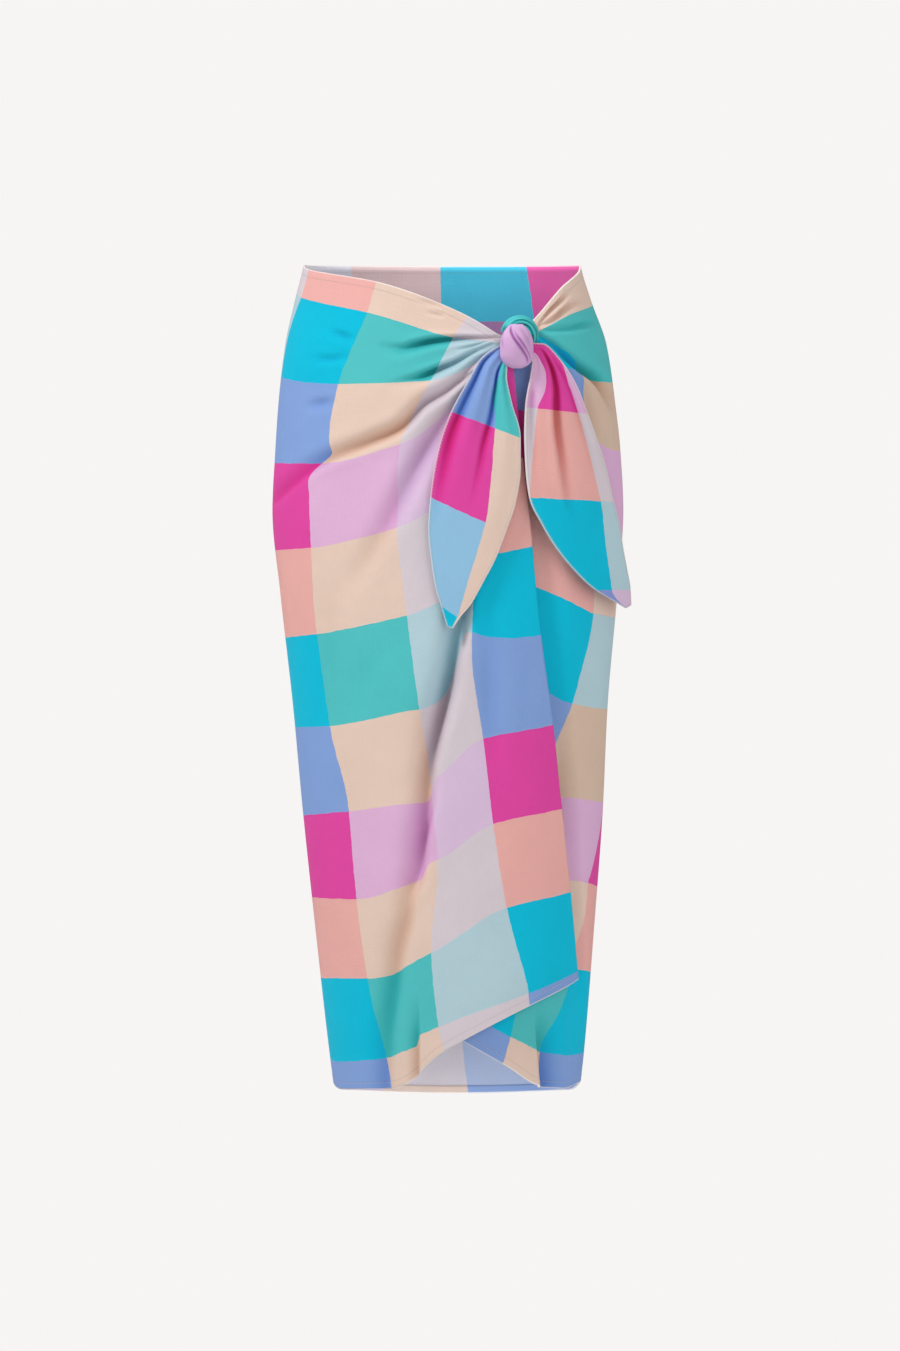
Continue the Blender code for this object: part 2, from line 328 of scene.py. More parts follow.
def unevenness(x, z, seed):
    """The soft waviness of cloth that was folded and worn, in millimetres."""
    wavy = np.zeros(x.size)
    for i, (px, pz) in enumerate(zip(x.ravel(), z.ravel())):
        for high, wide, tall, more in WAVES:
            wavy[i] += high * noise.noise((px / wide, pz / tall, seed + more))
    return wavy.reshape(x.shape)


print("folds are free of the knot", FREE_FROM, "mm away from it")

# %% [markdown]
# ## The colours and the chart
# A maker would chart it as a few kinds of column, each with colours that come round again every four rows.
# That short chart is all the pattern there is here.

# %% Palette and chart
def linear(*rgb):
    out = []
    for part in rgb:
        part = part / 255
        out.append(part / 12.92 if part <= 0.04045 else ((part + 0.055) / 1.055) ** 2.4)
    return tuple(out)


COLOURS = {
    "salmon": linear(242, 180, 174),
    "turquoise": linear(0, 196, 228),
    "blue": linear(136, 168, 226),
    "sky": linear(150, 200, 234),
    "magenta": linear(232, 74, 168),
    "beige": linear(236, 209, 193),
    "tan": linear(224, 196, 176),
    "green": linear(84, 200, 202),
    "lilac": linear(230, 184, 222),
    "blush": linear(222, 211, 218),
    "pink": linear(222, 194, 194),
    "aqua": linear(186, 215, 225),
    "mauve": linear(226, 198, 228),
    "orchid": linear(220, 178, 222),
    "mist": linear(178, 194, 228),
    "grey_blue": linear(214, 214, 224),
    # painted shade: a darkened purple for the cloth in shade just below the waist inside the back
    "shaded_purple": linear(170, 120, 176),
    "periwinkle": linear(140, 160, 226),
}
BRIGHT = ("salmon", "turquoise", "blue", "magenta")
WARM = ("beige", "green", "beige", "lilac")
COOL = ("blush", "aqua", "blush", "mauve")
FIRST_ROW = -1
ROWS = 12


def column(cycle, other=()):
    """Twelve rows of one kind of column, with the rows in other changed."""
    colours = [cycle[i % len(cycle)] for i in range(ROWS)]
    for row, colour in other:
        colours[row - FIRST_ROW] = colour
    return colours


OTHER_BEIGE = [(1, "tan"), (4, "aqua"), (5, "tan")]
CHART = {
    # first column, then the columns from the left
    "over_front": (-1, [column(COOL), column(BRIGHT), column(WARM), column(COOL), column(BRIGHT)]),
    "under_front": (-2, [column(WARM), column(BRIGHT), column(WARM, OTHER_BEIGE), column(BRIGHT)]),
    "back": (
        0,
        [
            column(COOL, [(-1, "grey_blue"), (0, "grey_blue")]),
            column(WARM, [(-1, "pink"), (0, "pink"), (9, "blush"), (10, "beige")]),
            column(BRIGHT, [(-1, "turquoise"), (1, "shaded_purple"), (9, "mist"), (10, "blue")]),
            column(BRIGHT, [(-1, "magenta"), (0, "magenta"), (10, "blue")]),
            column(WARM, OTHER_BEIGE + [(10, "blue")]),
            column(COOL),
        ],
    ),
    "tail_left": (
        0,
        [
            column(("blue", "blue", "magenta", "sky"), [(3, "turquoise")]),
            column(WARM, [(0, "green"), (2, "beige")]),
        ],
    ),
    "tail_right": (
        0,
        [
            column(("lilac", "lilac", "blush", "aqua")),
            column(("magenta", "magenta", "salmon", "turquoise"), [(3, "periwinkle")]),
            column(("lilac", "lilac", "blush", "aqua"), [(3, "mauve")]),
        ],
    ),
    "knot_wrap": (0, [column(("orchid",))]),
    "knot_band": (0, [column(("green",))]),
}
print("kinds of check:", len(COLOURS))

# %% [markdown]
# ## The weave
# Plain-weave cotton is a fine grid of threads, one over and one under. Each thread is a little thicker or
# darker than the next. One shader group gives both: a height for the bump and a shade for the colour. It
# reads the cloth's own UV map, so the threads turn and gather with the cloth.

# %% Node helpers
def math_node(tree, operation, *values, clamp=False):
    return add(tree, "ShaderNodeMath", enumerate(values), operation=operation, use_clamp=clamp).outputs[0]


def vector_node(tree, operation, *values):
    return add(tree, "ShaderNodeVectorMath", enumerate(values), operation=operation).outputs[0]


def scaled(tree, value, by, plus):
    return math_node(tree, "ADD", math_node(tree, "MULTIPLY", value, by), plus)


def noise_node(tree, where, scale, detail=2.0):
    return add(tree, "ShaderNodeTexNoise", {"Vector": where, "Scale": scale, "Detail": detail})


def mix_colour(tree, how_much, one, two, kind="MIX"):
    inputs = {0: how_much, 6: one, 7: two}
    return add(tree, "ShaderNodeMix", inputs, data_type="RGBA", blend_type=kind).outputs[2]


def stored_value(tree, name):
    return add(tree, "ShaderNodeAttribute", attribute_name=name).outputs["Fac"]


def new_material(name):
    material = bpy.data.materials.new(name)
    material.use_nodes = True
    return material, material.node_tree, material.node_tree.nodes["Principled BSDF"]


print("node helpers ready")

# %% Weave group
THREADS = 120.0
SLUB_LONG, SLUB_WIDE = 5.0, 90.0
CROSSING = 0.35


def build_weave_group():
    tree = bpy.data.node_groups.new("plain weave", "ShaderNodeTree")
    face = tree.interface
    face.new_socket("Cloth", in_out="INPUT", socket_type="NodeSocketVector")
    threads = face.new_socket("Threads in a check", in_out="INPUT", socket_type="NodeSocketFloat")
    threads.default_value = THREADS
    face.new_socket("Shade", in_out="OUTPUT", socket_type="NodeSocketFloat")
    face.new_socket("Height", in_out="OUTPUT", socket_type="NodeSocketFloat")
    into = add(tree, "NodeGroupInput")
    split = add(tree, "ShaderNodeSeparateXYZ", {0: into.outputs["Cloth"]})
    turns = math_node(tree, "MULTIPLY", into.outputs["Threads in a check"], math.pi)
    waves = [math_node(tree, "SINE", math_node(tree, "MULTIPLY", split.outputs[i], turns)) for i in (0, 1)]
    slubs = []
    for stretch in ((SLUB_WIDE, SLUB_LONG, 1.0), (SLUB_LONG, SLUB_WIDE, 1.0)):
        stretched = vector_node(tree, "MULTIPLY", into.outputs["Cloth"], stretch)
        slubs.append(noise_node(tree, stretched, 1.0, 3.0).outputs["Fac"])
    both = math_node(tree, "ADD", *slubs)
    height = scaled(tree, math_node(tree, "MULTIPLY", *waves), CROSSING, both)
    add(tree, "NodeGroupOutput", {"Shade": math_node(tree, "MULTIPLY", both, 0.5), "Height": height})
    return tree


weave_group = build_weave_group()
print("weave group:", len(weave_group.nodes), "nodes")

# %% [markdown]
# ## The cloth's material
# The chart becomes one colour ramp for each column, stepped down the rows, and the cloth's UV picks the
# column and the row. One unit of the map is one check. The line between two checks wanders by a thread or
# two. Soft wear in the tone, a paler wrong side (partly the wrong side of dyed threads, partly painted light
# for the dim inside), the pale last threads at an edge, a painted shade line along the turned hem's inner
# edge and the painted shade in a deep fold are added on top, and the weave drives the bump.

# %% Colour of the checks
WANDER_SCALE, WANDER = 9.0, 0.022


def stepped_ramp(tree, down, rows):
    """A colour ramp with one step for each change of colour down a column."""
    ramp = add(tree, "ShaderNodeValToRGB", {0: down})
    ramp.color_ramp.interpolation = "CONSTANT"
    marks = ramp.color_ramp.elements
    while len(marks) > 1:
        marks.remove(marks[-1])
    marks[0].position = 0
    marks[0].color = (*COLOURS[rows[0]], 1)
    for row in range(1, ROWS):
        if rows[row] != rows[row - 1]:
            marks.new(row / ROWS).color = (*COLOURS[rows[row]], 1)
    return ramp.outputs["Color"]


def check_colour(tree, uv, name):
    first_column, columns = CHART[name]
    off = vector_node(tree, "SUBTRACT", noise_node(tree, uv, WANDER_SCALE).outputs["Color"], (0.5, 0.5, 0.5))
    wandering = vector_node(tree, "MULTIPLY_ADD", off, (WANDER, WANDER, 0), uv)
    split = add(tree, "ShaderNodeSeparateXYZ", {0: wandering})
    down = math_node(tree, "DIVIDE", math_node(tree, "SUBTRACT", split.outputs["Y"], FIRST_ROW), ROWS)
    colour = stepped_ramp(tree, down, columns[0])
    for i, rows in enumerate(columns[1:], 1):
        past = math_node(tree, "GREATER_THAN", split.outputs["X"], first_column + i)
        colour = mix_colour(tree, past, colour, stepped_ramp(tree, down, rows))
    return colour


print("columns charted:", sum(len(columns) for _, columns in CHART.values()))

# %% Cloth material
TONE, THREAD_TONE, BROAD_TONE = 0.87, 0.16, 0.10
ROUGH, THREAD_ROUGH = 0.74, 0.14
BROAD_SCALE, BROAD_DETAIL = 1.7, 4.0
LAST_THREADS = 1.1
FOLD_GAMMA = 1.2
TINTS = {
    # how much at most, and the tone
    "wrong side": (0.08, (0.95, 0.92, 0.92)),
    "last threads": (0.60, (0.90, 0.84, 0.80)),
    "painted hem shade": (0.16, (0.25, 0.16, 0.14)),
    "deep fold": (0.22, (0.03, 0.05, 0.08)),
}


def tinted(tree, colour, mask, tint):
    most, tone = TINTS[tint]
    return mix_colour(tree, math_node(tree, "MULTIPLY", mask, most), colour, tone)


def cloth_material(name, hem):
    material, tree, shader = new_material("cotton " + name)
    uv = add(tree, "ShaderNodeUVMap", uv_map="Cloth").outputs[0]
    weave = add(tree, "ShaderNodeGroup", node_tree=weave_group)
    tree.links.new(uv, weave.inputs["Cloth"])
    broad = noise_node(tree, uv, BROAD_SCALE, BROAD_DETAIL).outputs["Fac"]
    tone = scaled(tree, weave.outputs["Shade"], THREAD_TONE, TONE)
    tone = math_node(tree, "ADD", tone, math_node(tree, "MULTIPLY", broad, BROAD_TONE))
    grey = add(tree, "ShaderNodeCombineColor", {0: tone, 1: tone, 2: tone}).outputs[0]
    colour = mix_colour(tree, 1.0, check_colour(tree, uv, name), grey, "MULTIPLY")
    # painted light and real colour: the wrong side is tinted paler, partly for the wrong side of the dyed
    # threads and partly to brighten the dim inside
    colour = tinted(tree, colour, stored_value(tree, "wrong_side"), "wrong side")
    edge = stored_value(tree, "from_edge")
    colour = tinted(tree, colour, math_node(tree, "LESS_THAN", edge, LAST_THREADS), "last threads")
    off_line = math_node(tree, "ABSOLUTE", math_node(tree, "SUBTRACT", edge, hem - 0.1))
    # painted shade: a dark line along the inner edge of the turned hem, standing for the shade at its step
    colour = tinted(tree, colour, math_node(tree, "SUBTRACT", 1.0, off_line, clamp=True), "painted hem shade")
    folded = stored_value(tree, "fold_shade")
    deep = add(tree, "ShaderNodeGamma", {"Color": colour, "Gamma": scaled(tree, folded, FOLD_GAMMA, 1.0)})
    bump = {"Strength": 0.45, "Distance": 0.0004, "Height": weave.outputs["Height"]}
    finish = {
        "Base Color": tinted(tree, deep.outputs[0], folded, "deep fold"),
        "Roughness": scaled(tree, weave.outputs["Shade"], THREAD_ROUGH, ROUGH),
        "Normal": add(tree, "ShaderNodeBump", bump).outputs[0],
        "Specular IOR Level": 0.15,
        "Sheen Weight": 0.05,
        "Sheen Roughness": 0.5,
    }
    for socket, value in finish.items():
        feed(tree, shader.inputs[socket], value)
    return material


print("tints over the checks:", ", ".join(TINTS))

# %% [markdown]
# ## From a grid to a cloth
# A stretch of cloth is a fine grid of angles, heights and lifts. These helpers make its right side and its
# wrong side, close the rim, and store four things for the material: the UV map in checks, how far each point
# is from a hemmed edge, which side it is on, and how much shade its fold holds. The hem is turned to the
# wrong side, so there the cloth is thicker.

# %% Cloth mesh
CLOTH = 0.9
HEM, CORNER_HEM = 7.5, 2.6
HEM_THICK, HEM_PROUD = 0.6, 0.25
TURN_OVER = 1.6
NO_HEM = 999.0
pieces = {}


def from_edges(outer, hemmed):
    """Millimetres from the nearest hemmed edge, measured along the cloth."""
    best = np.full(outer.shape[:2], NO_HEM)
    for axis, first, last in ((0, "top", "bottom"), (1, "left", "right")):
        gaps = np.linalg.norm(np.diff(outer, axis=axis), axis=-1)
        pad = [(0, 0), (0, 0)]
        pad[axis] = (1, 0)
        run = np.pad(np.cumsum(gaps, axis=axis), pad)
        if first in hemmed:
            best = np.minimum(best, run)
        if last in hemmed:
            best = np.minimum(best, np.take(run, [-1], axis=axis) - run)
    return best


def two_sided_mesh(name, outer, inner):
    """A closed mesh of the right side, the wrong side and the rim, with its faces outwards."""
    count = outer[..., 0].size
    points = np.concatenate([outer.reshape(-1, 3), inner.reshape(-1, 3)]) * MM
    grid = np.arange(count).reshape(outer.shape[:2])
    a, b, c, d = grid[:-1, :-1], grid[:-1, 1:], grid[1:, 1:], grid[1:, :-1]
    front = np.stack([a, b, c, d], axis=-1).reshape(-1, 4)
    wrong = front[:, ::-1] + count
    rim = np.concatenate([grid[0, :-1], grid[:-1, -1], grid[-1, :0:-1], grid[:0:-1, 0]])
    following = np.roll(rim, -1)
    closing = np.stack([following, rim, rim + count, following + count], axis=-1)
    faces = np.concatenate([front, wrong, closing])
    one = points[faces]
    halves = ((1, 2), (2, 3))
    volume = sum(np.einsum("ij,ij->", one[:, 0], np.cross(one[:, i], one[:, j])) for i, j in halves)
    if volume < 0:
        faces = faces[:, ::-1]
    mesh = bpy.data.meshes.new(name)
    mesh.vertices.add(len(points))
    mesh.vertices.foreach_set("co", points.ravel())
    mesh.loops.add(faces.size)
    mesh.loops.foreach_set("vertex_index", faces.ravel())
    mesh.polygons.add(len(faces))
    mesh.polygons.foreach_set("loop_start", np.arange(0, faces.size, 4))
    mesh.update(calc_edges=True)
    mesh.validate()
    mesh.shade_smooth()
    return mesh


print("cloth", CLOTH, "mm thick, hems", HEM, "and", CORNER_HEM, "mm wide")

# %% Cloth piece
def cloth_piece(name, outer, inner, uv, edge, hem=0.0, shade=0, turned_rows=0):
    mesh = two_sided_mesh(name, outer, inner)
    wrong_uv = uv + np.stack([0 * edge, turned_rows * (edge < hem)], axis=-1)
    both_uv = np.concatenate([uv.reshape(-1, 2), wrong_uv.reshape(-1, 2)])
    loops = np.empty(len(mesh.loops), int)
    mesh.loops.foreach_get("vertex_index", loops)
    mesh.uv_layers.new(name="Cloth").data.foreach_set("uv", both_uv[loops].ravel())
    shade = np.ravel(shade + 0 * edge)
    for label, right_side, wrong_side in (
        ("from_edge", edge.ravel(), edge.ravel()),
        ("wrong_side", 0 * shade, 0 * shade + 1),
        ("fold_shade", shade, 0.3 * shade),
    ):
        stored = mesh.attributes.new(label, "FLOAT", "POINT")
        stored.data.foreach_set("value", np.concatenate([right_side, wrong_side]))
    mesh.materials.append(cloth_material(name, hem))
    piece = in_scene("cloth_" + name, mesh)
    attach(piece, "root")
    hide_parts(name)
    pieces[name] = {"piece": piece, "outer": outer, "hem": hem}
    print(name, len(mesh.polygons) * 2, "triangles")


def hemmed_cloth(name, angle, z, lift, uv, hemmed, hem=HEM, shade=0, turned_rows=0):
    """A piece on the section, thicker along its hemmed edges and mostly so on the wrong side."""
    edge = from_edges(place(angle, z, lift), hemmed)
    turned = HEM_THICK * step_up((hem + TURN_OVER / 2 - edge) / TURN_OVER)
    outer = place(angle, z, lift + HEM_PROUD * turned)
    inner = place(angle, z, lift - CLOTH - turned)
    cloth_piece(name, outer, inner, uv, edge, hem, shade, turned_rows)


# %% [markdown]
# ## The over front
# This stretch comes round from the left, crosses the front and ends in the knot and in its free edge. Its
# first table has a row for each line across the checks and a column for each line down them. The second says
# which row and which checks those lines have reached, so form and pattern come from the same few sizes.
# Folds and waviness die out toward the sides, where the stretches meet.

# %% Grid and map of a front
SIDE_CALM = 0.30


def front_grid(rows, side_angle, lifts, across, down):
    """Angles and heights, smooth through the lines of a front's table."""
    table = np.array(rows, float)
    marks = table[:, 1:].reshape(len(table), -1, 2)
    angles = angle_at(marks[..., 0], marks[..., 1], lifts)
    angles = np.concatenate([np.full((len(table), 1), side_angle), angles], axis=1)
    heights = np.concatenate([table[:, :1], marks[..., 1]], axis=1)
    lines = smooth_run(np.arange(len(table)), np.stack([angles, heights], axis=-1), down)
    grid = smooth_run(np.arange(angles.shape[1]), np.moveaxis(lines, 1, 0), across)
    return np.moveaxis(grid, -1, 0).swapaxes(1, 2)


def front_map(rows, across, down):
    """The UV map in checks, from a front's table of rows and checks."""
    table = np.array(rows, float)
    found = np.stack([np.interp(down, np.arange(len(table)), line) for line in table.T], axis=1)
    stops = found[:, 1:]
    columns_at = np.array([np.interp(across, np.arange(stops.shape[1]), stop) for stop in stops])
    return np.stack([columns_at, np.broadcast_to(found[:, :1], columns_at.shape)], axis=-1)


def finer_above(line, above, below, last=11):
    """Places down a front's table, closer together above one of its lines than below it."""
    return np.concatenate([np.linspace(0, line, above), np.linspace(line, last, below)[1:]])


print("a front is calm within", SIDE_CALM, "radians of the side")

# %% Sizes of the over front
OVER_LIFT = 2.0
OVER_KNOT_LIFT = 3.0
OVER = (
    # side z, first check x z, second check x z, third check x z, edge x z
    (0, -67, -18, 26, -53, 58, -72, 67, -75),
    (-26, -76, -48, 12, -74, 57, -80, 69, -82),
    (-111, -106, -121, -11, -118, 58, -87, 70, -89),
    (-202, -126, -203, -41, -183, 61, -98, 72, -103),
    (-289, -133, -286, -46, -265, 53, -207, 82, -194),
    (-380, -128, -375, -36, -354, 35, -303, 92, -286),
    (-472, -114, -470, -24, -446, 30, -393, 101, -378),
    (-560, -95, -554, -13, -534, 42, -483, 113, -466),
    (-643, -87, -645, -4, -609, 52, -569, 122, -553),
    (-727, -75, -727, -11, -701, 66, -655, 131, -639),
    (-811, -61, -804, -4, -773, 88, -740, 138, -718),
    (-841, -52, -839, 2, -801, 89, -755, 139, -728),
)
OVER_CHECKS = (
    # row of the chart, check at the side, at the three lines, at the edge
    (-0.34, -0.42, 1, 2, 2.42, 2.52),
    (0, -0.42, 1, 2, 2.52, 2.62),
    (1, -0.12, 1, 2, 2.86, 2.98),
    (2, 0, 1, 2, 3, 3.14),
    (3, 0, 1, 2, 3, 3.9),
    (4, 0, 1, 2, 3, 3.9),
    (5, 0, 1, 2, 3, 3.9),
    (6, 0, 1, 2, 3, 3.9),
    (7, 0, 1, 2, 3, 3.9),
    (8, -0.03, 1, 2, 3, 3.9),
    (9, -0.05, 1, 2, 3, 3.9),
    (9.36, -0.05, 1, 2, 3, 3.9),
)
OVER_FOLDS = (
    # points from the knot outwards, depth at start, middle and end, right-hand and left-hand widths
    (((55, -75), (46, -75), (27, -75), (9, -76), (-10, -78), (-28, -82), (-44, -86), (-70, -82)),
     (2.5, 10.5, 0), 4, 8),
    (((46, -79), (36, -82), (24, -85), (10, -88)), (1.5, 4, 0), 2.5, 4),
    (((50, -82), (34, -88), (12, -100), (-3, -106), (-17, -112), (-31, -117), (-58, -124)),
     (2.5, 10.5, 0), 4, 8),
    (((52, -92), (37, -99), (19, -117), (2, -131), (-17, -142), (-44, -168), (-73, -181), (-112, -196),
      (-131, -206), (-172, -240)),
     (2.5, 9, 3.5), 9, 6),
    (((50, -101), (30, -112), (16, -122), (-2, -134)), (1.5, 4.5, 0), 4, 5),
    (((46, -114), (14, -148), (-8, -177), (-24, -202), (-49, -251), (-76, -300), (-102, -344)),
     (1.5, 8.5, 0), 12, 12),
    (((24, -338), (19, -364), (13, -397), (8, -426), (1, -455), (-6, -481), (-13, -511), (-18, -550),
      (-24, -630)),
     (8, 14, 5), 14, 7),
    (((22, -338), (14, -397), (8, -426), (-2, -455), (-9, -481), (-14, -515), (-20, -600)),
     (2, 7, 3), 26, 14),
    (((-4, -515), (-14, -560), (-24, -600), (-34, -650)), (0, 7.5, 0), 14, 6),
    (((-20, -575), (-23, -608), (-33, -632), (-37, -664), (-46, -697), (-54, -754), (-58, -787),
      (-61, -843)),
     (2, 8.5, 6), 13, 11),
    (((48, -345), (50, -440), (58, -540)), (1, 3.2, 0), 13, 14),
    (((-24, -745), (-25, -795), (-25, -843)), (0, 5, 6), 9, 2.5),
    (((-88, -78), (-102, -73), (-116, -68)), (0.4, 3, 0), 4, 5),
    (((-90, -93), (-116, -97), (-134, -96)), (0, 3, 0), 4, 5),
    (((-106, -141), (-118, -141), (-130, -143), (-142, -149)), (0, 3.2, 0), 5, 7),
    (((0, -45), (-12, -41), (-28, -36)), (0, 1.6, 0), 3, 3),
    (((4, -54), (-6, -52), (-18, -49)), (0, 1.6, 0), 3, 3),
    (((-62, -380), (-76, -415), (-92, -470)), (0, 2.2, 0), 14, 14),
    (((-104, -300), (-116, -380), (-110, -470)), (0, 2.5, 0), 12, 12),
)
OVER_TAKEN_IN = (
    # points, jump across and down at start, middle and end, how sharp, how far it reaches
    (((24, -338), (12, -426), (-4, -481), (-16, -590), (-22, -690)), (0, 0, 0), (-0.62, -0.36, 0), 3, 36),
    (((-44, -168), (-73, -181), (-112, -196), (-131, -206), (-172, -240)),
     (0, -0.3, -0.18), (0, 0, 0), 3, 40),
    (((-24, -760), (-25, -800), (-25, -843)), (0, 0, 0), (0, -0.12, -0.14), 2, 12),
)
print("folds of the over front:", len(OVER_FOLDS))

# %% Over front
NEAR_KNOT = 70.0

down = finer_above(5, 150, 92)
across = np.linspace(0, 4, 190)
angle, z = front_grid(OVER, SEAM, OVER_LIFT, across, down)
x = x_at(angle, z, OVER_LIFT)
near_knot = step_up(1 - np.hypot(x - KNOT_X, z - KNOT_Z) / NEAR_KNOT)
lift = OVER_LIFT + (OVER_KNOT_LIFT - OVER_LIFT) * near_knot
sunk, shade = fold_depth(x, z, OVER_FOLDS)
lift = (lift - sunk + unevenness(x, z, 1)) * step_up(angle / SIDE_CALM)
z = z + corner_lift(angle, z)
over_uv = front_map(OVER_CHECKS, across, down) + taken_in(x, z, OVER_TAKEN_IN)
hemmed_cloth("over_front", angle, z, lift, over_uv, ("top", "bottom"), shade=shade)

# %% [markdown]
# ## The under front
# This stretch comes round from the right, gathers into the knot and goes on beneath the over front, where
# it is plain. It is tucked a few millimetres inside, so the free edge above it throws a soft shadow.

# %% Sizes of the under front
UNDER_TUCK = -8.0
UNDER = (
    # side z, part way x z, check line x z, edge x z
    (0, 124, -22, 92, -61, 84, -71),
    (-38, 134, -48, 96, -70, 82, -80),
    (-119, 162, -118, 143, -109, 78, -97),
    (-191, 171, -188, 151, -176, 60, -142),
    (-275, 174, -272, 154, -265, 48, -218),
    (-359, 169, -357, 154, -354, 44, -305),
    (-453, 158, -452, 133, -447, 42, -393),
    (-546, 150, -543, 110, -536, 34, -478),
    (-633, 149, -629, 101, -615, 26, -564),
    (-722, 140, -717, 90, -701, 10, -650),
    (-805, 111, -798, 74, -783, -14, -733),
    (-841, 111, -838, 65, -814, -26, -764),
)
UNDER_CHECKS = (
    # row, check at the side, part way, at the line, at the edge
    (-0.42, 0.98, 0.45, 0, -0.25),
    (0, 0.96, 0.45, 0, -0.3),
    (1, 0.75, 0.4, 0, -0.8),
    (2, 0.72, 0.4, 0, -1.15),
    (3, 0.72, 0.4, 0, -1.3),
    (4, 0.75, 0.4, 0, -1.3),
    (5, 0.88, 0.42, 0, -1.1),
    (6, 1.02, 0.5, 0, -0.9),
    (7, 1.5, 1, 0, -0.9),
    (8, 1.6, 1, 0, -1),
    (9, 1.95, 1, 0, -1.15),
    (9.4, 1.95, 1, 0, -1.15),
)
UNDER_FOLDS = (
    (((99, -61), (108, -49), (121, -36), (130, -26)), (3.5, 6.5, 0), 5, 3),
    (((99, -64), (114, -55), (128, -43), (148, -32)), (3, 6.5, 0), 6, 4),
    (((98, -68), (128, -65), (148, -60), (163, -57)), (2, 5, 0), 7, 5),
    (((96, -72), (114, -83), (128, -96), (141, -106), (158, -118), (169, -134), (181, -158)),
     (4, 12, 0), 6, 8),
    (((138, -106), (146, -130), (152, -160), (156, -200)), (0, 4, 0), 8, 7),
    (((160, -184), (171, -240), (173, -280)), (0, 4, 0), 10, 10),
    (((103, -750), (106, -780), (109, -810), (112, -841)), (1, 7, 9), 5, 15),
    (((128, -470), (122, -560), (126, -660)), (0, 4, 0), 12, 12),
)
print("folds of the under front:", len(UNDER_FOLDS))

# %% Under front
TUCK_CALM = 0.42
PAST_EDGE, TUCK_SHARE = 6.0, 0.35

down = finer_above(3, 90, 120)
across = np.linspace(0, 3, 110)
angle, z = front_grid(UNDER, math.pi - SEAM, np.array([0.0, 0.0, UNDER_TUCK]), across, down)
x = x_at(angle, z)
over_table = np.array(OVER, float)
over_edge_x = smooth_run(-over_table[:, 8], over_table[:, 7], -z)
shown = step_up((x - over_edge_x - PAST_EDGE) / (TUCK_SHARE * (x_at(math.pi, z) - over_edge_x)))
lift = UNDER_TUCK * (1 - shown) * step_up((math.pi - angle) / TUCK_CALM)
sunk, shade = fold_depth(x, z, UNDER_FOLDS)
lift = lift + (unevenness(x, z, 2) - sunk) * step_up((math.pi - angle) / SIDE_CALM)
z = z + corner_lift(math.pi - angle, z)
under_uv = front_map(UNDER_CHECKS, across, down)
hemmed_cloth("under_front", angle, z, lift, under_uv, ("top", "bottom"), shade=shade)

# %% [markdown]
# ## The back
# Round the back the cloth is smooth over the hips and hangs in a few soft folds below them. It is seen from
# inside at the waist and at the hem, and from all round when the model turns, so its rows and checks run on
# from the fronts at both sides. Near the waist they also draw in to the columns that show there.

# %% Sizes of the back
BACK_FOLDS = (
    (((-60, -430), (-66, -620), (-70, -843)), (0, 3, 5), 26, 26),
    (((66, -470), (74, -640), (82, -843)), (0, 3, 5), 26, 26),
    (((4, -520), (8, -680), (2, -843)), (0, 2, 3), 20, 20),
    (((-120, -110), (-60, -132), (0, -138)), (0, 1.6, 0), 9, 7),
    (((130, -100), (70, -120), (20, -150)), (0, 1.8, 0), 9, 7),
    (((-140, -190), (-90, -206), (-40, -205)), (0, 1.4, 0), 10, 8),
)
# height of the hem and its drop behind, width of a check and of the blend at the left side, where row 1
# starts and how tall a row is, and the line that meets the under front's first check line
BACK_HEM, BACK_DROP = -841, 5
BACK_CHECK, SIDE_BLEND = 94.0, 97.0
FIRST_LINE, ROW_SHARE = 55, 0.985
UNDER_LINE = 5
print("folds of the back:", len(BACK_FOLDS))

# %% Back
across = np.linspace(0, 1, 130)
down = np.concatenate([np.linspace(0, 0.982, 150), np.linspace(0.984, 1, 16)])
angle = (math.pi + SEAM + (math.pi - 2 * SEAM) * across)[None, :]
z = down[:, None] * (BACK_HEM - BACK_DROP * np.sin(angle - math.pi) ** 2)
angle = np.broadcast_to(angle, z.shape)
x = x_at(angle, z)
sunk, shade = fold_depth(x, z, BACK_FOLDS)
lift = (unevenness(x, z, 3) - sunk) * step_up(np.abs(np.sin(angle)) / SIDE_CALM)
z = z + corner_lift(angle - math.pi, z) + corner_lift(2 * math.pi - angle, z)
flat = place(angle, z, lift)
arc = np.pad(np.cumsum(np.linalg.norm(np.diff(flat, axis=1), axis=-1), axis=1), [(0, 0), (1, 0)])
whole = arc[:, -1:]
from_left = whole - arc


def beside(rows, checks, which):
    """One column of a front's table of checks, read at the heights of the back."""
    return np.interp(-z, -np.array(rows, float)[:, 0], np.array(checks, float)[:, which])


share = (angle - math.pi) / math.pi
toward_right = step_up(1 - share / 0.30)
toward_left = step_up((share - 0.70) / 0.30)
rows_at = (1 + (-z - FIRST_LINE) / CHECK * ROW_SHARE) * (1 - toward_right - toward_left)
rows_at = rows_at + beside(UNDER, UNDER_CHECKS, 0) * toward_right + beside(OVER, OVER_CHECKS, 0) * toward_left
right_part = np.clip(from_left / whole / 0.4 - 1.5, 0, 1)
columns_at = from_left / BACK_CHECK - beside(OVER, OVER_CHECKS, 1) * (1 - step_up(from_left / SIDE_BLEND))
columns_at = columns_at + (UNDER_LINE - beside(UNDER, UNDER_CHECKS, 1) - whole / BACK_CHECK) * right_part
middle_column = from_left[:, len(across) // 2][:, None] / BACK_CHECK
top_shift = (middle_column - 2) * step_up((z + 260) / 220)
columns_at = columns_at - top_shift * (1 - toward_left) * (1 - right_part)
back_uv = np.stack([columns_at, rows_at], axis=-1)
low_rows = np.where(z < -700, 1, 0)
hemmed_cloth("back", angle, z, lift, back_uv, ("top", "bottom"), shade=shade, turned_rows=low_rows)

# %% [markdown]
# ## The hanging corners
# Each end of the cloth comes out of the knot as a bunch, opens into a leaf and ends in the point of its
# corner. The table gives its two edges at each width. The folds start under the knot and die out half way
# down, and each lies in the lift.

